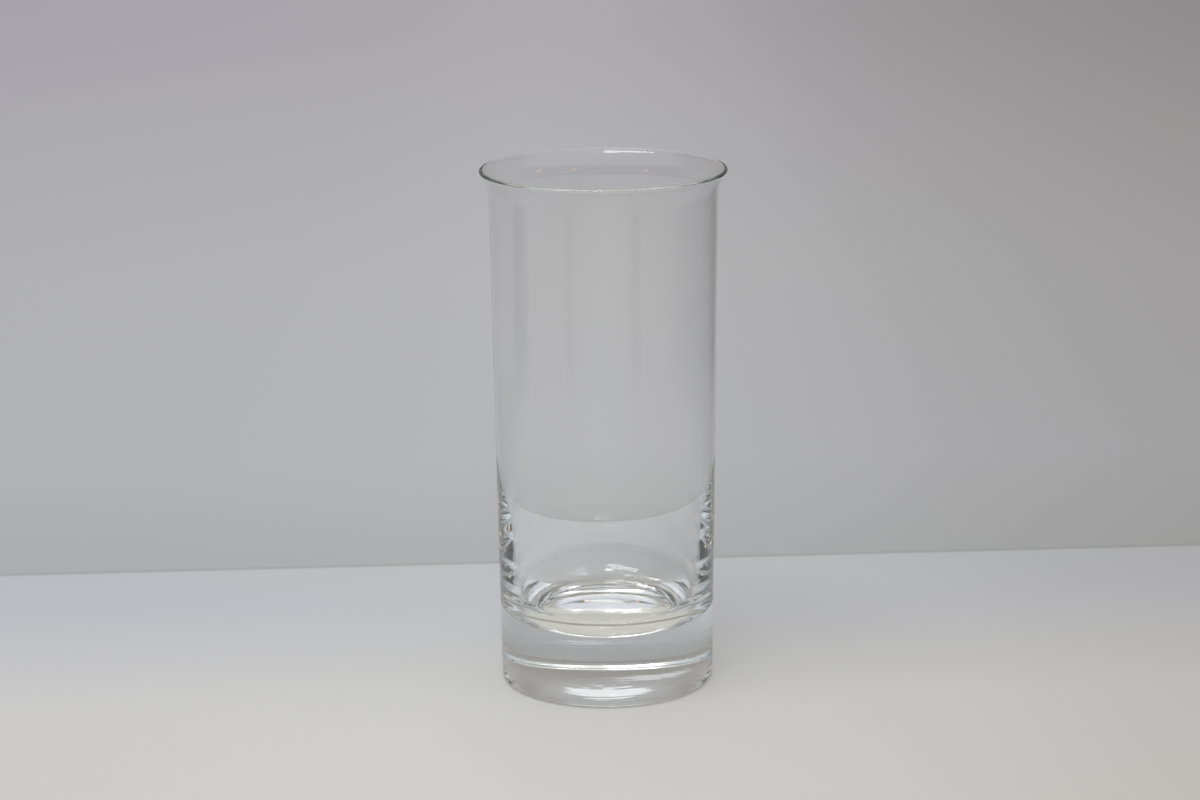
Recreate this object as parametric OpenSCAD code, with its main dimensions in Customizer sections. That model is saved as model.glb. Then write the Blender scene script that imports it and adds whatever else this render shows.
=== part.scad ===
// Highball glass: a tall, slightly tapered tumbler of clear glass with a thin wall,
// a flared lip and a heavy solid base, all blown from one gather.
// The glass is one section turned about +Z. Its origin is on the table, at the middle of the base.
// All sizes are in millimetres.

/* [Body] */
// Height from the table to the top of the rim
glass_h = 145; // [110:1:180]
// Outer diameter across the rim
rim_d = 67.7; // [58:0.1:78]
// Outer diameter of the wall, carried down to the table
foot_d = 59.4; // [52:0.2:66]
// Thickness of the upper wall and of the lip
wall_t = 1; // [0.8:0.1:2]

/* [Lip] */
// Height of the flared lip
lip_h = 8; // [5:0.5:20]
// How far the rim stands out past the wall
lip_flare = 2.45; // [1:0.05:4]
// How far the bead that fire polishing leaves along the rim stands proud of each face of the lip
rim_bead = 0.05; // [0.05:0.05:0.5]

/* [Base] */
// Thickness of the base at its middle
base_t = 15.7; // [8:0.1:24]
// Radius of the rounded heel
heel_r = 1; // [0.5:0.1:4]
// Width of the flat ring that the glass stands on
ring_w = 3.2; // [1:0.1:10]
// Depth of the dish inside that ring, at its middle
dish_depth = 1.2; // [0.4:0.1:4]

/* [Inside] */
// Height at which the wall begins to thicken towards the base
haunch_z = 65; // [52:1:90]
// Radius of the long curve by which the wall thickens
haunch_r = 133; // [90:1:200]
// Lean of the lower bowl from the vertical, in degrees
bowl_lean = 7.2; // [5:0.1:10]
// Radius of the corner between the lower bowl and its floor
corner_r = 12; // [4:0.5:16]
// Radius of the gently dished floor of the bowl
floor_r = 70; // [40:1:200]

/* [Hidden] */
$fn = 192;

// How far neighbouring curves run into each other, so that they meet in a clean edge
seam = 0.002;

// Lean of the wall from the vertical, with the directions out of it and up along it
shoulder_d = rim_d - 2 * lip_flare;
lip_z = glass_h - lip_h;
lean = atan((shoulder_d - foot_d) / 2 / lip_z);
wall_out = [cos(lean), -sin(lean)];
wall_up = [sin(lean), cos(lean)];

// Ends of the wall, outside and inside
wall_foot = [foot_d / 2, 0];
wall_top = [shoulder_d / 2, lip_z];
bowl_top = wall_top - wall_t * wall_out;

// The lip is an arc that leaves the wall along the wall's own lean and ends in the bead of the rim
rim_t = wall_t + 2 * rim_bead;
lip_start = wall_top - wall_t / 2 * wall_out;
rim_centre = [(rim_d - rim_t) / 2, glass_h - rim_t / 2];
lip_chord = rim_centre - lip_start;
lip_r = lip_chord * lip_chord / (2 * lip_chord * wall_out);
lip_centre = lip_start + lip_r * wall_out;
lip_across = wall_t / 2 * direction(rim_centre - lip_centre);
lip_outer_end = rim_centre - lip_across;
lip_inner_end = rim_centre + lip_across;

// The heel is an arc that touches the table and the wall
heel_centre = [foot_d / 2 + heel_r * (tan(lean) - 1 / cos(lean)), heel_r];
heel_on_table = [heel_centre.x, 0];
heel_on_wall = heel_centre + heel_r * wall_out;

// The dish under the base is part of a sphere
dish_edge = heel_on_table.x - ring_w;
dish_r = (dish_edge * dish_edge + dish_depth * dish_depth) / (2 * dish_depth);

// The haunch is an arc that leaves the inner wall smoothly and bends in to the lean of the lower bowl
bowl_out = [cos(bowl_lean), -sin(bowl_lean)];
bowl_up = [sin(bowl_lean), cos(bowl_lean)];
haunch_start = bowl_top - (bowl_top.y - haunch_z) / wall_up.y * wall_up;
haunch_centre = haunch_start - haunch_r * wall_out;
haunch_end = haunch_centre + haunch_r * bowl_out;

// The floor is an arc about a point on the axis, and the corner touches both floor and lower bowl
floor_middle = [0, base_t];
floor_centre = [0, base_t + floor_r];
corner_line = haunch_end - corner_r * bowl_out - floor_centre;
corner_rise = corner_line * bowl_up;
corner_reach = floor_r - corner_r;
bowl_length = corner_rise + sqrt(corner_rise * corner_rise - corner_line * corner_line + corner_reach * corner_reach);
corner_start = haunch_end - bowl_length * bowl_up;
corner_centre = corner_start - corner_r * bowl_out;
floor_edge = floor_centre + floor_r * direction(corner_centre - floor_centre);

// Unit vector along v
function direction(v) = v / norm(v);

// Triangle that opens from a centre through the points a and b, and runs well past them
module wedge(centre, a, b) {
    past = 3;
    polygon([centre, centre + past * (a - centre), centre + past * (b - centre)]);
}

// Disc of radius r
module disc(centre, r) {
    translate(centre) circle(r);
}

// Solid outline of the glass up to the rim, with its heel rounded and its lip flared
module blank_section() {
    difference() {
        polygon([[0, 0], wall_foot, wall_top, lip_outer_end, lip_inner_end, [0, lip_inner_end.y]]);
        disc(lip_centre, lip_r - wall_t / 2 + seam);
        difference() {
            wedge(heel_centre, heel_on_table, heel_on_wall);
            disc(heel_centre, heel_r + seam);
        }
    }
}

// Straight parts of the bowl and the inside of the lip
module bowl_straight_section() {
    difference() {
        polygon([
            floor_middle, floor_edge, corner_start, haunch_end, haunch_start, bowl_top,
            lip_inner_end, [lip_inner_end.x, glass_h], [0, glass_h]
        ]);
        disc(lip_centre, lip_r + wall_t / 2 + seam);
    }
}

// Round parts of the bowl: haunch, corner and floor
module bowl_round_section() {
    intersection() {
        disc(haunch_centre, haunch_r + seam);
        wedge(haunch_centre, corner_start, bowl_top);
    }
    disc(corner_centre, corner_r + seam);
    intersection() {
        disc(floor_centre, floor_r);
        wedge(floor_centre, floor_middle, floor_edge);
    }
}

// Hollow of the bowl, on one side of the axis
module bowl_section() {
    intersection() {
        square([rim_d, glass_h]);
        union() {
            bowl_straight_section();
            bowl_round_section();
        }
    }
}

// Hollow under the base
module dish_section() {
    intersection() {
        disc([0, dish_depth - dish_r], dish_r);
        square([foot_d, dish_depth]);
    }
}

// The whole glass, in one piece
module tumbler() {
    color([0.86, 0.9, 0.89, 0.45])
        rotate_extrude() {
            difference() {
                blank_section();
                bowl_section();
                dish_section();
            }
            disc(rim_centre, rim_t / 2);
        }
}

tumbler();
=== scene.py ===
"""Looks of a highball glass: clear blown glass on a pale table, seen from a little above.

The glass is one section turned about the upright axis. Its sizes and those of its waves are in
millimetres, and those of the table and the lamps are in metres, like Blender's own. Angles are in degrees,
and azimuths turn from +Y, behind the glass, towards +X.
"""

import logging
import math
from dataclasses import dataclass, field
from enum import Enum
from itertools import accumulate, pairwise

import bpy
from mathutils import Matrix, Vector


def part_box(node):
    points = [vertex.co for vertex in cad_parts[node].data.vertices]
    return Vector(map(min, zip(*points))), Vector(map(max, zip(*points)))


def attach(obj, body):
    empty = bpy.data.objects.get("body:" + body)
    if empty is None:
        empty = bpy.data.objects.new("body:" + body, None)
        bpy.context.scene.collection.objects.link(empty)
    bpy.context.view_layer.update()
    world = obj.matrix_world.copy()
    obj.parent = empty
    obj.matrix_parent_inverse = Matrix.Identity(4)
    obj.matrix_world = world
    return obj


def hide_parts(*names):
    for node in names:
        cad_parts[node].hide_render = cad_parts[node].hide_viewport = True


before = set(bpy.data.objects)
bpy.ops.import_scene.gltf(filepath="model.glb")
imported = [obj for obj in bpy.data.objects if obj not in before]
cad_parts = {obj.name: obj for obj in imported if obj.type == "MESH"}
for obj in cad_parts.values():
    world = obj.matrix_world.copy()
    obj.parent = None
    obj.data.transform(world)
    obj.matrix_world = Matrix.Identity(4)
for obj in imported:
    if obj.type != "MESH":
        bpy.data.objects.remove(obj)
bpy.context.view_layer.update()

PIECE = "highball_glass"
GLASS_NODE = "tumbler"
BODY = "root"

# One millimetre, in metres
MM = 0.001
# How often light may bounce on its way through the glass
BOUNCES = 128
UP = Vector((0, 0, 1))

log = logging.getLogger("highball")

Point = tuple[float, float]
Colour = tuple[float, float, float]
Tones = tuple[tuple[float, Colour], ...]
Socket = bpy.types.NodeSocket
Value = Socket | Vector | str | float | tuple[float, ...]

WHITE: Colour = (1.0, 1.0, 1.0)


class LampShape(Enum):
    """Outline of a soft lamp's face."""

    RECTANGLE = "RECTANGLE"
    ELLIPSE = "ELLIPSE"


def along(start: Point, step: Point, reach: float) -> Point:
    """Point that lies reach times step from start."""
    return (start[0] + reach * step[0], start[1] + reach * step[1])


def between(a: Point, b: Point) -> Point:
    """Vector from a to b."""
    return (b[0] - a[0], b[1] - a[1])


def dot(a: Point, b: Point) -> float:
    """Scalar product of two vectors."""
    return a[0] * b[0] + a[1] * b[1]


def direction(v: Point) -> Point:
    """Unit vector along v."""
    size = math.hypot(*v)
    return (v[0] / size, v[1] / size)


def bearing(azimuth: float, elevation: float) -> Vector:
    """Unit vector that points along an azimuth, raised above the level by an elevation."""
    turn, lift = math.radians(azimuth), math.radians(elevation)
    return Vector((math.sin(turn) * math.cos(lift), math.cos(turn) * math.cos(lift), math.sin(lift)))


def smooth(share: float) -> float:
    """Smooth step from 0 to 1 as share goes from 0 to 1."""
    t = min(1.0, max(0.0, share))
    return t * t * (3 - 2 * t)


def neutral(brightness: float) -> Colour:
    """Colour without a hue."""
    return (brightness, brightness, brightness)


def neutrals(*stops: Point) -> Tones:
    """Tones without a hue, from pairs of a place and a brightness."""
    return tuple((place, neutral(brightness)) for place, brightness in stops)


def line(a: Point, b: Point, steps: int) -> list[Point]:
    """Points from a to b, without b.

    Args:
        a: First end.
        b: Second end.
        steps: Number of equal steps between them.

    Returns:
        The points, a first.
    """
    return [along(a, between(a, b), i / steps) for i in range(steps)]


def arc(centre: Point, a: Point, b: Point, steps: int) -> list[Point]:
    """Points on the shorter arc from a to b, without b.

    Args:
        centre: Centre of the arc.
        a: First end, which also sets the radius.
        b: Point towards which the arc turns.
        steps: Number of equal steps between them.

    Returns:
        The points, a first.
    """
    radius = math.dist(centre, a)
    start = math.atan2(a[1] - centre[1], a[0] - centre[0])
    stop = math.atan2(b[1] - centre[1], b[0] - centre[0])
    sweep = (stop - start + math.pi) % math.tau - math.pi
    turns = [start + sweep * i / steps for i in range(steps)]
    return [(centre[0] + radius * math.cos(t), centre[1] + radius * math.sin(t)) for t in turns]


@dataclass
class Sketch:
    """Shorthand for wiring a node tree. A value is a plain one or another node's output."""

    tree: bpy.types.NodeTree

    def feed(self, socket: Socket, value: Value) -> None:
        """Give a socket its value.

        Args:
            socket: Input of a node.
            value: What goes in. A colour gets full cover.
        """
        if isinstance(value, Socket):
            self.tree.links.new(value, socket)
        elif socket.type == "RGBA":
            socket.default_value = (*value, 1)
        else:
            socket.default_value = value

    def node(self, kind: str, wiring: dict[str, Value] | None = None, **settings: str) -> bpy.types.Node:
        """Add a node.

        Args:
            kind: Blender's own name for this type of node.
            wiring: Values of its inputs, by the inputs' names.
            settings: Properties to set on it.

        Returns:
            The node.
        """
        node = self.tree.nodes.new(kind)
        for name, setting in settings.items():
            setattr(node, name, setting)
        for name, value in (wiring or {}).items():
            self.feed(node.inputs[name], value)
        return node

    def work(self, operation: str, *terms: Value) -> Socket:
        """One step of arithmetic.

        Args:
            operation: Blender's own name for the operation.
            terms: The numbers that it takes.

        Returns:
            The result.
        """
        node = self.node("ShaderNodeMath", operation=operation)
        for socket, term in zip(node.inputs, terms):
            self.feed(socket, term)
        return node.outputs["Value"]

    def measure(self, operation: str, *vectors: Value) -> Socket:
        """One step of vector arithmetic that gives a number.

        Args:
            operation: Blender's own name for the operation.
            vectors: The vectors that it takes.

        Returns:
            The number.
        """
        node = self.node("ShaderNodeVectorMath", operation=operation)
        for socket, vector in zip(node.inputs, vectors):
            self.feed(socket, vector)
        return node.outputs["Value"]

    def split(self, vector: Socket) -> tuple[Socket, ...]:
        """Parts of a vector along X, Y and Z."""
        return tuple(self.node("ShaderNodeSeparateXYZ", {"Vector": vector}).outputs)

    def ease(self, value: Socket, low: float, high: float) -> Socket:
        """Smooth step.

        Args:
            value: What the step follows.
            low: Value at which the step is 0.
            high: Value at which the step is 1.

        Returns:
            The height of the step.
        """
        wiring = {"Value": value, "From Min": low, "From Max": high}
        return self.node("ShaderNodeMapRange", wiring, interpolation_type="SMOOTHSTEP").outputs["Result"]

    def ramp(self, value: Socket, tones: Tones) -> Socket:
        """Colour that follows a value.

        Args:
            value: What the colour follows.
            tones: Colours and the values at which they stand, in rising order.

        Returns:
            The colour.
        """
        (low, first), *inner, (high, last) = tones
        share = self.node("ShaderNodeMapRange", {"Value": value, "From Min": low, "From Max": high})
        node = self.node("ShaderNodeValToRGB", {"Fac": share.outputs["Result"]})
        stops = node.color_ramp.elements
        stops[0].color = (*first, 1)
        stops[-1].color = (*last, 1)
        for place, colour in inner:
            stops.new((place - low) / (high - low)).color = (*colour, 1)
        return node.outputs["Color"]

    def mix(self, share: Value, a: Value, b: Value, mode: str = "MIX") -> Socket:
        """Mix two colours.

        Args:
            share: Share of the second colour.
            a: First colour.
            b: Second colour.
            mode: Blender's own name for the way of mixing.

        Returns:
            The mixed colour.
        """
        node = self.node("ShaderNodeMix", {"Factor": share}, data_type="RGBA", blend_type=mode)
        colours = [socket for socket in node.inputs if socket.type == "RGBA"]
        for socket, colour in zip(colours, (a, b)):
            self.feed(socket, colour)
        return next(socket for socket in node.outputs if socket.type == "RGBA")

    def glaze(self, under: Socket, colour: Socket, cover: Socket) -> Socket:
        """Lay a glowing colour over a shader.

        Args:
            under: The shader.
            colour: Colour of the glow.
            cover: Share of the shader that it hides.

        Returns:
            The shader with the glow on it.
        """
        glow = self.node("ShaderNodeEmission", {"Color": colour})
        node = self.node("ShaderNodeMixShader", {"Fac": cover})
        _, lower, upper = node.inputs
        self.feed(lower, under)
        self.feed(upper, glow.outputs["Emission"])
        return node.outputs["Shader"]


@dataclass(frozen=True)
class ClearGlass:
    """Fire-polished soda-lime glass: clear, with a faint green-grey cast that only thick stretches show.

    Blowing leaves shallow ripples in its face, longer up the glass than round it.
    """

    ior: float = 1.52
    tint: Colour = (0.80, 0.90, 0.85)
    tint_density: float = 3.0
    ripple_length: float = 14.0
    ripple_stretch: float = 4.0
    ripple_height: float = 0.012

    def ripples(self, sketch: Sketch) -> Socket:
        """Lay the ripples over the glass.

        Args:
            sketch: Tree of the material.

        Returns:
            The rippled normal.
        """
        place = sketch.node("ShaderNodeTexCoord").outputs["Object"]
        length = self.ripple_length * MM
        layout = {"Vector": place, "Scale": (length, length, length * self.ripple_stretch)}
        laid = sketch.node("ShaderNodeMapping", layout, vector_type="TEXTURE")
        noise = sketch.node("ShaderNodeTexNoise", {"Vector": laid.outputs["Vector"], "Scale": 1.0})
        relief = {"Height": noise.outputs["Fac"], "Distance": self.ripple_height * MM}
        return sketch.node("ShaderNodeBump", relief).outputs["Normal"]

    def material(self) -> bpy.types.Material:
        """Make the material.

        Returns:
            A transmitting material with plain absorption in its volume.
        """
        glass = bpy.data.materials.new("clear_glass")
        glass.use_nodes = True
        tree = glass.node_tree
        sketch = Sketch(tree)
        surface = tree.nodes["Principled BSDF"].inputs
        sketch.feed(surface["Base Color"], WHITE)
        sketch.feed(surface["IOR"], self.ior)
        sketch.feed(surface["Transmission Weight"], 1.0)
        sketch.feed(surface["Roughness"], 0.0)
        sketch.feed(surface["Normal"], self.ripples(sketch))
        cast = {"Color": self.tint, "Density": self.tint_density}
        volume = sketch.node("ShaderNodeVolumeAbsorption", cast)
        sketch.feed(tree.nodes["Material Output"].inputs["Volume"], volume.outputs["Volume"])
        return glass


@dataclass(frozen=True)
class Waves:
    """Fine waves that blowing leaves on a surface.

    They have a height to each side of it, a length along the section and a spread round the axis, which is
    an angle. They fade out towards the axis within the still radius.
    """

    height: float
    length: float
    spread: float
    still_r: float


STILL = Waves(height=0.0, length=1.0, spread=90.0, still_r=1.0)
DISH_WAVES = Waves(height=0.045, length=2.6, spread=45.0, still_r=3.0)
BOWL_WAVES = Waves(height=0.006, length=1.1, spread=14.0, still_r=12.0)


@dataclass(frozen=True)
class Stretch:
    """One stretch of the section, in equal steps: a straight line, or an arc where it has a centre."""

    start: Point
    end: Point
    steps: int
    centre: Point | None = None
    waves: Waves = STILL

    def points(self) -> list[Point]:
        """Points along the stretch.

        Returns:
            Its start and the points after it, without its end.
        """
        if self.centre is None:
            return line(self.start, self.end, self.steps)
        return arc(self.centre, self.start, self.end, self.steps)


@dataclass(frozen=True)
class Station:
    """One point of the section: its radius and height, and the height, phase and crowding of its waves."""

    radius: float
    height: float
    wave_height: float
    wave_phase: float
    wave_crowding: float


class Lathe:
    """Node tree that turns an open section about the upright axis and lays the section's waves on it.

    It starts from a grid. Each column of the grid becomes one turned copy of the section, and each row
    stands for one of the section's points.
    """

    def __init__(self) -> None:
        """Name the inputs, and find the row of each point of the grid and the angle of its column."""
        self.tree = bpy.data.node_groups.new("turned_section", "GeometryNodeTree")
        sockets = (
            ("Geometry", "INPUT", "NodeSocketGeometry"),
            ("Segments", "INPUT", "NodeSocketInt"),
            ("Seed", "INPUT", "NodeSocketFloat"),
            ("Weld", "INPUT", "NodeSocketFloat"),
            ("Finish", "INPUT", "NodeSocketMaterial"),
            ("Geometry", "OUTPUT", "NodeSocketGeometry"),
        )
        for name, side, kind in sockets:
            self.tree.interface.new_socket(name, in_out=side, socket_type=kind)
        sketch = Sketch(self.tree)
        self.sketch = sketch
        self.source = sketch.node("NodeGroupInput").outputs
        count = sketch.node("GeometryNodeAttributeDomainSize", {"Geometry": self.source["Geometry"]})
        self.rows = count.outputs["Point Count"]
        index = sketch.node("GeometryNodeInputIndex").outputs["Index"]
        self.row = sketch.work("MODULO", index, self.rows)
        column = sketch.work("FLOOR", sketch.work("DIVIDE", index, self.rows))
        turn = sketch.work("DIVIDE", column, self.source["Segments"])
        self.angle = sketch.work("MULTIPLY", turn, math.tau)

    def sampled(self, value: Socket, kind: str) -> Socket:
        """Take a value from the section's own point in the same row.

        Args:
            value: The value.
            kind: Blender's own name for its type.

        Returns:
            The value there.
        """
        wiring = {"Geometry": self.source["Geometry"], "Value": value, "Index": self.row}
        return self.sketch.node("GeometryNodeSampleIndex", wiring, data_type=kind).outputs["Value"]

    def from_section(self, name: str) -> Socket:
        """The section's own attribute of that name, in the same row."""
        attribute = self.sketch.node("GeometryNodeInputNamedAttribute", {"Name": name}, data_type="FLOAT")
        return self.sampled(attribute.outputs["Attribute"], "FLOAT")

    def turned(self) -> Socket:
        """Bend the grid round.

        Returns:
            The turned section, still open along one seam and at both ends.
        """
        sketch = self.sketch
        columns = sketch.work("ADD", self.source["Segments"], 1.0)
        grid = sketch.node("GeometryNodeMeshGrid", {"Vertices X": columns, "Vertices Y": self.rows})
        position = sketch.node("GeometryNodeInputPosition").outputs["Position"]
        swing = {"Vector": self.sampled(position, "FLOAT_VECTOR"), "Angle": self.angle}
        turn = sketch.node("ShaderNodeVectorRotate", swing, rotation_type="Z_AXIS")
        bend = {"Geometry": grid.outputs["Mesh"], "Position": turn.outputs["Vector"]}
        return sketch.node("GeometryNodeSetPosition", bend).outputs["Geometry"]

    def waved(self, glass: Socket) -> Socket:
        """Lay the waves on the glass, by a noise that runs on round the axis without a seam.

        Args:
            glass: The turned section.

        Returns:
            The glass with its waves.
        """
        sketch = self.sketch
        crowding = self.from_section("wave_crowding")
        spot = sketch.node("ShaderNodeCombineXYZ", {
            "X": sketch.work("MULTIPLY", sketch.work("COSINE", self.angle), crowding),
            "Y": sketch.work("MULTIPLY", sketch.work("SINE", self.angle), crowding),
            "Z": self.from_section("wave_phase"),
        })
        grain = {"Vector": spot.outputs["Vector"], "W": self.source["Seed"], "Scale": 1.0, "Detail": 1.0}
        noise = sketch.node("ShaderNodeTexNoise", grain, noise_dimensions="4D")
        # The noise runs from 0 to 1, and the waves swing to both sides
        swing = sketch.work("MULTIPLY_ADD", noise.outputs["Fac"], 2.0, -1.0)
        height = sketch.work("MULTIPLY", swing, self.from_section("wave_height"))
        normal = sketch.node("GeometryNodeInputNormal").outputs["Normal"]
        lift = sketch.node("ShaderNodeVectorMath", {"Vector": normal, "Scale": height}, operation="SCALE")
        waves = {"Geometry": glass, "Offset": lift.outputs["Vector"]}
        return sketch.node("GeometryNodeSetPosition", waves).outputs["Geometry"]

    def finished(self, glass: Socket) -> Socket:
        """Weld the seam and both ends on the axis, smooth the glass and dress it.

        Args:
            glass: The glass with its waves.

        Returns:
            The closed glass with its material.
        """
        sketch = self.sketch
        seam = {"Geometry": glass, "Distance": self.source["Weld"]}
        weld = sketch.node("GeometryNodeMergeByDistance", seam)
        shade = sketch.node("GeometryNodeSetShadeSmooth", {"Geometry": weld.outputs["Geometry"]})
        realize = sketch.node("GeometryNodeRealizeInstances", {"Geometry": shade.outputs["Geometry"]})
        dress = {"Geometry": realize.outputs["Geometry"], "Material": self.source["Finish"]}
        return sketch.node("GeometryNodeSetMaterial", dress).outputs["Geometry"]

    def build(self) -> bpy.types.NodeTree:
        """Wire the whole tree."""
        self.sketch.node("NodeGroupOutput", {"Geometry": self.finished(self.waved(self.turned()))})
        return self.tree


@dataclass
class Tumbler:
    """The glass itself. Its height and rim come from the frame, and its other sizes are those of the solid.

    Blowing leaves fine waves on the inside of the lower bowl, on its floor and under the base, shallower
    than a hair is thick. They show in the thick sides, round the floor and in the base. From the start of
    the haunch down they come in faintly, and from the wave top down they grow to their full height, each
    within the fade.
    """

    glass_h: float
    rim_d: float
    foot_d: float = 59.4
    wall_t: float = 1.0
    lip_h: float = 8.0
    lip_flare: float = 2.45
    rim_bead: float = 0.05
    base_t: float = 15.7
    heel_r: float = 1.0
    ring_w: float = 3.2
    dish_depth: float = 1.2
    haunch_z: float = 65.0
    haunch_r: float = 133.0
    bowl_lean: float = 7.2
    corner_r: float = 12.0
    floor_r: float = 70.0
    segments: int = 256
    weld: float = 0.001
    wave_seed: float = 3.0
    wave_top: float = 52.0
    wave_fade: float = 14.0
    faint_share: float = 0.2
    finish: ClearGlass = field(default_factory=ClearGlass)

    def wave_height(self, point: Point, waves: Waves) -> float:
        """Height of the waves at a point.

        Args:
            point: Radius and height.
            waves: The waves of its surface.

        Returns:
            The height, which fades out up the bowl and towards the axis.
        """
        faint = self.faint_share * smooth((self.haunch_z - point[1]) / self.wave_fade)
        full = (1 - self.faint_share) * smooth((self.wave_top - point[1]) / self.wave_fade)
        return waves.height * (faint + full) * smooth(point[0] / waves.still_r)

    def outline(self) -> list[Stretch]:
        """Work out the section.

        Returns:
            Its stretches, from the middle of the underside, round the outside and the rim, to the middle
            of the floor.
        """
        # The wall leans outwards
        lip_z = self.glass_h - self.lip_h
        shoulder = self.rim_d / 2 - self.lip_flare
        lean = math.atan((shoulder - self.foot_d / 2) / lip_z)
        wall_out = (math.cos(lean), -math.sin(lean))
        wall_up = (math.sin(lean), math.cos(lean))
        wall_top = (shoulder, lip_z)
        bowl_top = along(wall_top, wall_out, -self.wall_t)

        # The lip is an arc that leaves the wall along the wall's own lean
        rim_t = self.wall_t + 2 * self.rim_bead
        lip_start = along(wall_top, wall_out, -self.wall_t / 2)
        rim_centre = ((self.rim_d - rim_t) / 2, self.glass_h - rim_t / 2)
        chord = between(lip_start, rim_centre)
        lip_r = dot(chord, chord) / (2 * dot(chord, wall_out))
        lip_centre = along(lip_start, wall_out, lip_r)
        lip_across = direction(between(lip_centre, rim_centre))
        lip_outer_end = along(rim_centre, lip_across, -self.wall_t / 2)
        lip_inner_end = along(rim_centre, lip_across, self.wall_t / 2)

        # The rim is a bead, half a circle over the end of the lip
        rim_outer = along(rim_centre, lip_across, -rim_t / 2)
        rim_inner = along(rim_centre, lip_across, rim_t / 2)
        rim_top = along(rim_centre, (-lip_across[1], lip_across[0]), -rim_t / 2)

        # The heel is an arc that touches the table and the wall
        heel_x = self.foot_d / 2 + self.heel_r * (math.tan(lean) - 1 / math.cos(lean))
        heel_centre = (heel_x, self.heel_r)
        heel_on_table = (heel_x, 0.0)
        heel_on_wall = along(heel_centre, wall_out, self.heel_r)

        # The dish under the base is part of a sphere
        dish_middle = (0.0, self.dish_depth)
        dish_edge = (heel_x - self.ring_w, 0.0)
        dish_r = (dish_edge[0] ** 2 + self.dish_depth ** 2) / (2 * self.dish_depth)
        dish_centre = (0.0, self.dish_depth - dish_r)

        # The haunch is an arc that leaves the inner wall smoothly and bends in to the lower bowl's lean
        bowl_out = (math.cos(math.radians(self.bowl_lean)), -math.sin(math.radians(self.bowl_lean)))
        bowl_up = (-bowl_out[1], bowl_out[0])
        haunch_start = along(bowl_top, wall_up, -(bowl_top[1] - self.haunch_z) / wall_up[1])
        haunch_centre = along(haunch_start, wall_out, -self.haunch_r)
        haunch_end = along(haunch_centre, bowl_out, self.haunch_r)

        # The floor is an arc about a point on the axis, and the corner touches both floor and lower bowl
        floor_middle = (0.0, self.base_t)
        floor_centre = (0.0, self.base_t + self.floor_r)
        reach = self.floor_r - self.corner_r
        offset = between(floor_centre, along(haunch_end, bowl_out, -self.corner_r))
        rise = dot(offset, bowl_up)
        bowl_length = rise + math.sqrt(rise ** 2 - dot(offset, offset) + reach ** 2)
        corner_start = along(haunch_end, bowl_up, -bowl_length)
        corner_centre = along(corner_start, bowl_out, -self.corner_r)
        floor_edge = along(floor_centre, direction(between(floor_centre, corner_centre)), self.floor_r)

        return [
            Stretch(dish_middle, dish_edge, steps=60, centre=dish_centre, waves=DISH_WAVES),
            Stretch(dish_edge, heel_on_table, steps=2),
            Stretch(heel_on_table, heel_on_wall, steps=10, centre=heel_centre),
            Stretch(heel_on_wall, wall_top, steps=5),
            Stretch(wall_top, lip_outer_end, steps=12, centre=lip_centre),
            Stretch(rim_outer, rim_top, steps=7, centre=rim_centre),
            Stretch(rim_top, rim_inner, steps=7, centre=rim_centre),
            Stretch(lip_inner_end, bowl_top, steps=12, centre=lip_centre),
            Stretch(bowl_top, haunch_start, steps=5),
            Stretch(haunch_start, haunch_end, steps=60, centre=haunch_centre, waves=BOWL_WAVES),
            Stretch(haunch_end, corner_start, steps=78, waves=BOWL_WAVES),
            Stretch(corner_start, floor_edge, steps=62, centre=corner_centre, waves=BOWL_WAVES),
            Stretch(floor_edge, floor_middle, steps=46, centre=floor_centre, waves=BOWL_WAVES),
        ]

    def stations(self) -> list[Station]:
        """Step along the section.

        Returns:
            Its points, with the waves at each of them.
        """
        stretches = self.outline()
        last = stretches[-1]
        places = [(point, stretch.waves) for stretch in stretches for point in stretch.points()]
        places.append((last.end, last.waves))
        strides = [math.dist(a, b) / waves.length for (a, waves), (b, _) in pairwise(places)]
        phases = accumulate(strides, initial=0.0)
        return [
            Station(*point, self.wave_height(point, waves), phase, 1 / math.radians(waves.spread))
            for (point, waves), phase in zip(places, phases)
        ]

    def section(self) -> bpy.types.Mesh:
        """Draw the section, with the waves as attributes of its points.

        Returns:
            An open chain of edges beside the upright axis.
        """
        stations = self.stations()
        points = [(station.radius * MM, 0.0, station.height * MM) for station in stations]
        values = {
            "wave_height": [station.wave_height * MM for station in stations],
            "wave_phase": [station.wave_phase for station in stations],
            "wave_crowding": [station.wave_crowding for station in stations],
        }
        section = bpy.data.meshes.new("section")
        section.from_pydata(points, list(pairwise(range(len(points)))), [])
        for name, numbers in values.items():
            section.attributes.new(name, "FLOAT", "POINT").data.foreach_set("value", numbers)
        return section

    def build(self) -> bpy.types.Object:
        """Make the glass and dress it.

        Returns:
            The finished piece, as a plain mesh at the origin.
        """
        piece = bpy.data.objects.new(PIECE, self.section())
        bpy.context.scene.collection.objects.link(piece)
        tree = Lathe().build()
        inputs = {
            "Segments": self.segments,
            "Seed": self.wave_seed,
            "Weld": self.weld * MM,
            "Finish": self.finish.material(),
        }
        lathe = piece.modifiers.new("lathe", "NODES")
        lathe.node_group = tree
        for socket in tree.interface.items_tree:
            if socket.name in inputs:
                lathe[socket.identifier] = inputs[socket.name]
        graph = bpy.context.evaluated_depsgraph_get()
        mesh = bpy.data.meshes.new_from_object(piece.evaluated_get(graph))
        piece.modifiers.clear()
        mesh.name = PIECE
        # The grid brings an empty slot of its own
        mesh.materials.pop(index=0)
        piece.data = mesh
        return piece


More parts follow.
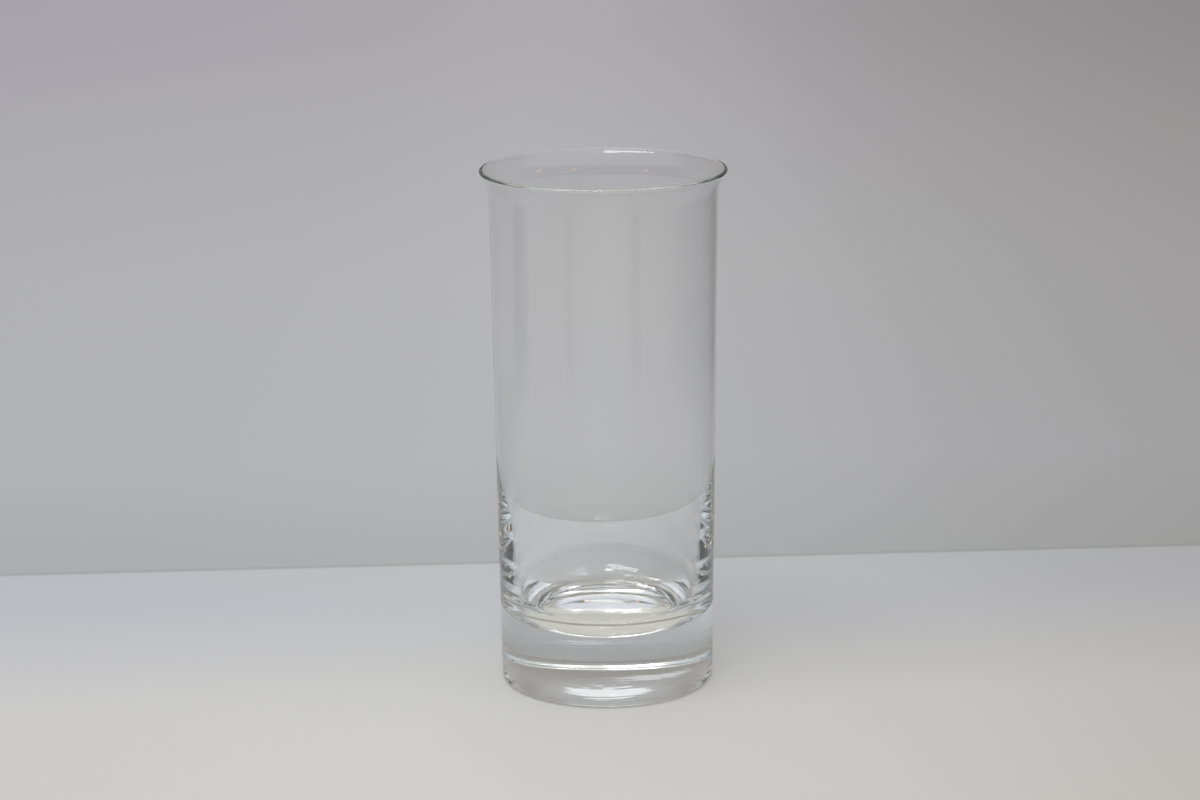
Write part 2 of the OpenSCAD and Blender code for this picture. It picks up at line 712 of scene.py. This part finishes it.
@dataclass
class Table:
    """Pale table that turns grey along a straight line behind the glass.

    Its tones follow the distance past that line. The line itself is a thin dark line of painted corner
    shade, and the grey darkens towards it as painted corner shade too. The paint darkens to both sides,
    along X, as painted falloff of the light, and part of the paint glows for the camera, which softens the
    shadow of the glass.

    Seen through the glass, the table under the base glows as a painted pool of light, as bright as the open
    table, with a ring of painted shadow where the heel meets it. To a sight line that has bounced several
    times in the thick sides the table shows painted shade, but not to one that has run all the way down the
    wall from the rim, by many more bounces. The wall of the glass mirrors the far parts of the table in
    dark and pale streaks of painted reflection, whose tones follow the azimuth from -Y towards +X.
    """

    half_width: float = 4.0
    drop: float = 0.0001
    roughness: float = 0.6
    gloss: float = 0.2
    line_y: float = 0.107
    line_turn: float = 3.3
    line_blur: float = 0.0015
    pale: Tones = (
        (-0.20, (0.63, 0.62, 0.59)),
        (-0.13, (0.625, 0.62, 0.60)),
        (-0.04, (0.53, 0.535, 0.56)),
        (0.0, (0.515, 0.525, 0.545)),
    )
    # The grey darkens towards the line as painted corner shade
    grey: Tones = (
        (0.0, (0.425, 0.43, 0.435)),
        (0.12, (0.47, 0.473, 0.49)),
        (0.45, (0.49, 0.49, 0.50)),
        (1.30, (0.47, 0.455, 0.48)),
    )
    # Thin line of painted corner shade along the line
    corner_shade: Colour = (0.37, 0.38, 0.37)
    corner_shade_width: float = 0.004
    # Painted falloff of the light: the paint darkens to both sides, along X
    painted_falloff: Tones = (
        (-0.45, (0.91, 0.91, 0.94)),
        (-0.15, (0.96, 0.96, 0.975)),
        (-0.05, WHITE),
        (0.0, (0.985, 0.985, 0.98)),
        (0.09, (0.91, 0.905, 0.90)),
        (0.13, (0.855, 0.845, 0.835)),
        (0.20, (0.79, 0.775, 0.76)),
        (0.30, (0.735, 0.71, 0.695)),
        (0.45, (0.66, 0.635, 0.615)),
    )
    camera_glow: float = 0.45
    # Seen through the glass: a painted pool of light under the base, and a ring of painted shadow round the
    # heel
    patch: Tones = (
        (0.0, (0.57, 0.565, 0.52)),
        (0.0275, (0.57, 0.565, 0.52)),
        (0.0285, (0.29, 0.275, 0.255)),
        (0.036, (0.29, 0.275, 0.255)),
    )
    caustic_and_heel_shadow_r: float = 0.034
    caustic_and_heel_shadow_blur: float = 0.001
    # Painted shade for the thick sides of the glass: near black, for sight lines that have bounced several
    # times in them
    painted_side_shade: Colour = neutral(0.07)
    painted_side_shade_bounces: tuple[float, float] = (7.5, 14.5)
    painted_reflection_reach: tuple[float, float] = (0.30, 0.42)
    # Painted reflection: dark and pale streaks, by azimuth, that only the glass's reflections show
    painted_reflection: Tones = neutrals(
        (-180, 0.44),
        (-150, 0.44),
        (-130, 0.60),
        (-104, 0.60),
        (-97, 0.02),
        (-86, 0.02),
        (-78, 0.60),
        (-40, 0.60),
        (-36, 0.20),
        (-32, 0.20),
        (-28, 0.60),
        (24, 0.60),
        (29, 0.02),
        (33, 0.02),
        (38, 0.60),
        (56, 0.50),
        (78, 0.10),
        (140, 0.10),
        (160, 0.44),
        (180, 0.44),
    )

    def paint(self, sketch: Sketch, place: Socket) -> Socket:
        """Colour of the plain paint.

        Args:
            sketch: Tree of the paint.
            place: Point on the table.

        Returns:
            The colour there.
        """
        wiring = {
            "Vector": place,
            "Location": (0, self.line_y, 0),
            "Rotation": (0, 0, math.radians(self.line_turn)),
        }
        turned = sketch.node("ShaderNodeMapping", wiring, vector_type="TEXTURE")
        _, past, _ = sketch.split(turned.outputs["Vector"])
        # Painted corner shade: a thin dark line that fades into the grey past the line
        off_corner_shade = sketch.ease(past, 0.0, self.corner_shade_width)
        far = sketch.mix(off_corner_shade, self.corner_shade, sketch.ramp(past, self.grey))
        over = sketch.ease(past, -self.line_blur, self.line_blur)
        colour = sketch.mix(over, sketch.ramp(past, self.pale), far)
        across, _, _ = sketch.split(place)
        # The paint is darkened to the sides as painted falloff of the light
        return sketch.mix(1.0, colour, sketch.ramp(across, self.painted_falloff), mode="MULTIPLY")

    def through_glass(self, sketch: Sketch, place: Socket, bounces: Socket) -> tuple[Socket, Socket]:
        """Work out how the table shows through the glass.

        Args:
            sketch: Tree of the paint.
            place: Point on the table.
            bounces: How often the ray has bounced on its way.

        Returns:
            The colour there, and the share of the plain paint that it hides.
        """
        reach = sketch.measure("LENGTH", place)
        # The painted pool of light under the base and the painted shadow round the heel reach out to this
        # radius
        under = sketch.ease(reach, self.caustic_and_heel_shadow_r + self.caustic_and_heel_shadow_blur, self.caustic_and_heel_shadow_r)
        # Painted shade for sight lines that have bounced several times, but not many times, in the thick
        # sides
        several, too_many = (sketch.work("GREATER_THAN", bounces, count) for count in self.painted_side_shade_bounces)
        side_shaded = sketch.work("SUBTRACT", several, too_many)
        colour = sketch.mix(side_shaded, sketch.ramp(reach, self.patch), self.painted_side_shade)
        return colour, sketch.work("MAXIMUM", under, side_shaded)

    def in_mirror(self, sketch: Sketch, place: Socket) -> tuple[Socket, Socket]:
        """Work out the painted reflection of the table that the wall of the glass shows.

        Args:
            sketch: Tree of the paint.
            place: Point on the table.

        Returns:
            The colour there, and the share of the plain paint that it hides.
        """
        across, behind, _ = sketch.split(place)
        in_front = sketch.work("MULTIPLY", behind, -1.0)
        azimuth = sketch.work("DEGREES", sketch.work("ARCTAN2", across, in_front))
        reach = sketch.measure("LENGTH", place)
        return sketch.ramp(azimuth, self.painted_reflection), sketch.ease(reach, *self.painted_reflection_reach)

    def material(self) -> bpy.types.Material:
        """Make the matt paint, with the tones that the camera and the glass see laid over it.

        Returns:
            The material of the table top.
        """
        paint = bpy.data.materials.new("table_paint")
        paint.use_nodes = True
        tree = paint.node_tree
        sketch = Sketch(tree)
        place = sketch.node("ShaderNodeTexCoord").outputs["Object"]
        colour = self.paint(sketch, place)
        surface = tree.nodes["Principled BSDF"]
        sketch.feed(surface.inputs["Base Color"], colour)
        sketch.feed(surface.inputs["Roughness"], self.roughness)
        sketch.feed(surface.inputs["Specular IOR Level"], self.gloss)
        rays = sketch.node("ShaderNodeLightPath").outputs
        let_through = rays["Is Transmission Ray"]
        # A ray that the glass lets through counts as glossy too
        bounced_off = sketch.work("GREATER_THAN", rays["Is Glossy Ray"], let_through)
        through, through_share = self.through_glass(sketch, place, rays["Ray Depth"])
        painted_reflection, painted_reflection_share = self.in_mirror(sketch, place)
        layers = (
            (colour, rays["Is Camera Ray"], self.camera_glow),
            (through, let_through, through_share),
            (painted_reflection, bounced_off, painted_reflection_share),
        )
        top = surface.outputs["BSDF"]
        for tone, ray, share in layers:
            top = sketch.glaze(top, tone, sketch.work("MULTIPLY", ray, share))
        sketch.feed(tree.nodes["Material Output"].inputs["Surface"], top)
        return paint

    def build(self) -> bpy.types.Object:
        """Make the table top, just below the glass so that the two faces don't coincide.

        Returns:
            The table top.
        """
        far = self.half_width
        corners = ((-far, -far), (far, -far), (far, far), (-far, far))
        top = bpy.data.meshes.new("table_top")
        top.from_pydata([(x, y, -self.drop) for x, y in corners], [], [range(len(corners))])
        top.materials.append(self.material())
        table = bpy.data.objects.new("table_top", top)
        bpy.context.scene.collection.objects.link(table)
        return table


@dataclass
class SoftBox:
    """Soft lamp that faces the glass. Its face is as bright as its glow says, where 1 is white."""

    name: str
    azimuth: float
    elevation: float
    distance: float
    size: tuple[float, float]
    glow: float
    shape: LampShape = LampShape.RECTANGLE
    aim_z: float = 0.05

    def area(self) -> float:
        """Area of the lamp's face."""
        fill = math.pi / 4 if self.shape is LampShape.ELLIPSE else 1
        return self.size[0] * self.size[1] * fill

    def build(self) -> bpy.types.Object:
        """Hang the lamp and turn it to the glass.

        Returns:
            The lamp.
        """
        light = bpy.data.lights.new(self.name, "AREA")
        light.shape = self.shape.value
        light.size, light.size_y = self.size
        light.energy = self.glow * math.pi * self.area()
        offset = self.distance * bearing(self.azimuth, self.elevation)
        lamp = bpy.data.objects.new(self.name, light)
        lamp.location = Vector((0, 0, self.aim_z)) + offset
        lamp.rotation_euler = (-offset).to_track_quat("-Z", "Y").to_euler()
        bpy.context.scene.collection.objects.link(lamp)
        return lamp


@dataclass
class Studio:
    """The lamps round the glass."""

    lamps: tuple[SoftBox, ...] = (
        SoftBox("window", azimuth=-140, elevation=66, distance=1.6, size=(1.0, 0.3), glow=7.4),
        SoftBox(
            "ceiling_lamp",
            azimuth=-170,
            elevation=76,
            distance=1.6,
            size=(0.24, 0.24),
            glow=14.0,
            shape=LampShape.ELLIPSE,
        ),
    )

    def build(self) -> list[bpy.types.Object]:
        """Hang every lamp."""
        return [lamp.build() for lamp in self.lamps]


@dataclass(frozen=True)
class Glow:
    """Soft oval patch of light in the room.

    Its width and height are angles, and its blur is the share of them within which its edge fades.
    """

    azimuth: float
    elevation: float
    width: float
    height: float
    tone: Colour
    blur: float = 0.5

    def paint(self, sketch: Sketch, sight: Socket, under: Socket) -> Socket:
        """Lay the patch over a colour.

        Args:
            sketch: Tree of the world.
            sight: Direction in which a ray looks.
            under: Colour of the room so far.

        Returns:
            The colour with the patch on it.
        """
        ahead = bearing(self.azimuth, self.elevation)
        right = ahead.cross(UP).normalized()
        up = right.cross(ahead)
        squares = []
        for side, angle in ((right, self.width), (up, self.height)):
            edge = math.sin(math.radians(angle / 2))
            share = sketch.work("DIVIDE", sketch.measure("DOT_PRODUCT", sight, side), edge)
            squares.append(sketch.work("MULTIPLY", share, share))
        reach = sketch.work("SQRT", sketch.work("ADD", *squares))
        inside = sketch.ease(reach, 1 + self.blur, 1 - self.blur)
        in_view = sketch.work("GREATER_THAN", sketch.measure("DOT_PRODUCT", sight, ahead), 0.0)
        return sketch.mix(sketch.work("MULTIPLY", inside, in_view), under, self.tone)


@dataclass
class Surroundings:
    """Soft light of the room, whose tones follow the elevation.

    Near the level they are darker in front of the glass than behind it. One side passes into the other
    where the part along Y of a unit sight line is within the change-over. Soft patches and a few small warm
    lamps lie on the tones.
    """

    behind: Tones = (
        (-90, (0.30, 0.30, 0.30)),
        (0, (0.30, 0.29, 0.27)),
        (22, (0.33, 0.31, 0.29)),
        (45, (0.36, 0.35, 0.34)),
        (55, (0.80, 0.80, 0.79)),
        (70, (1.15, 1.15, 1.14)),
        (90, (1.10, 1.10, 1.10)),
    )
    in_front: Tones = (
        (-90, (0.30, 0.30, 0.30)),
        (0, (0.06, 0.06, 0.06)),
        (14, (0.06, 0.06, 0.06)),
        (19, (0.35, 0.36, 0.38)),
        (23, (0.66, 0.69, 0.76)),
        (36, (0.70, 0.73, 0.80)),
        (46, (0.85, 0.86, 0.88)),
        (65, (1.15, 1.15, 1.15)),
        (90, (1.10, 1.10, 1.10)),
    )
    change_over: float = 0.2
    patches: tuple[Glow, ...] = (
        Glow(azimuth=0, elevation=29, width=50, height=22, tone=neutral(0.42)),
        Glow(azimuth=0, elevation=28, width=30, height=8, tone=(0.85, 0.86, 0.88), blur=0.2),
        Glow(azimuth=-20, elevation=16, width=34, height=5, tone=neutral(0.60)),
    )
    warm_places: tuple[Point, ...] = ((150, 11), (-135, 9), (110, 12))
    warm_size: float = 5.0
    warm_tone: Colour = (2.0, 1.3, 0.55)

    def build(self) -> bpy.types.World:
        """Paint the tones on the world.

        Returns:
            The world, which the scene now has.
        """
        world = bpy.data.worlds.new("room")
        bpy.context.scene.world = world
        world.use_nodes = True
        sketch = Sketch(world.node_tree)
        sight = sketch.node("ShaderNodeTexCoord").outputs["Generated"]
        _, back, rise = sketch.split(sight)
        elevation = sketch.work("DEGREES", sketch.work("ARCSINE", rise))
        side = sketch.ease(back, -self.change_over, self.change_over)
        in_front, behind = (sketch.ramp(elevation, tones) for tones in (self.in_front, self.behind))
        tone = sketch.mix(side, in_front, behind)
        size = (self.warm_size, self.warm_size)
        warm_lamps = [Glow(*place, *size, self.warm_tone) for place in self.warm_places]
        for glow in (*self.patches, *warm_lamps):
            tone = glow.paint(sketch, sight, tone)
        sketch.feed(world.node_tree.nodes["Background"].inputs["Color"], tone)
        return world


@dataclass
class PhotoCamera:
    """Camera at the photograph's viewpoint. Its lengths are in millimetres, apart from those in pixels."""

    distance: float = 818.0
    height: float = 288.2
    pitch: float = 14.29
    yaw: float = -0.10
    roll: float = -0.51
    focal_px: float = 3045.0
    frame_px: float = 1200.0
    sensor: float = 36.0
    nearest: float = 10.0

    def build(self) -> bpy.types.Object:
        """Make the camera and hand it to the scene.

        Returns:
            The camera.
        """
        ahead = bearing(self.yaw, -self.pitch)
        right = ahead.cross(UP).normalized()
        up = right.cross(ahead)
        roll = math.radians(self.roll)
        rolled_right = right * math.cos(roll) + up * math.sin(roll)
        rolled_up = up * math.cos(roll) - right * math.sin(roll)
        lens = bpy.data.cameras.new("photo_camera")
        lens.sensor_fit = "HORIZONTAL"
        lens.sensor_width = self.sensor
        lens.lens = self.focal_px / self.frame_px * self.sensor
        lens.clip_start = self.nearest * MM
        camera = bpy.data.objects.new("photo_camera", lens)
        matrix = Matrix((rolled_right, rolled_up, -ahead)).transposed().to_4x4()
        matrix.translation = Vector((0, -self.distance * MM, self.height * MM))
        camera.matrix_world = matrix
        bpy.context.scene.collection.objects.link(camera)
        bpy.context.scene.camera = camera
        return camera


def main() -> None:
    logging.basicConfig(level=logging.INFO, format="%(name)s: %(message)s")
    scene = bpy.context.scene
    scene.view_settings.view_transform = "Standard"
    scene.cycles.max_bounces = BOUNCES
    scene.cycles.transmission_bounces = BOUNCES
    scene.cycles.glossy_bounces = BOUNCES

    PhotoCamera().build()
    Table().build()
    Surroundings().build()
    Studio().build()

    low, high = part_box(GLASS_NODE)
    tumbler = Tumbler(glass_h=(high.z - low.z) / MM, rim_d=(high.x - low.x) / MM)
    piece = tumbler.build()
    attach(piece, BODY)
    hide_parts(GLASS_NODE)
    log.info("%s: %d faces", piece.name, len(piece.data.polygons))


if __name__ == "__main__":
    main()
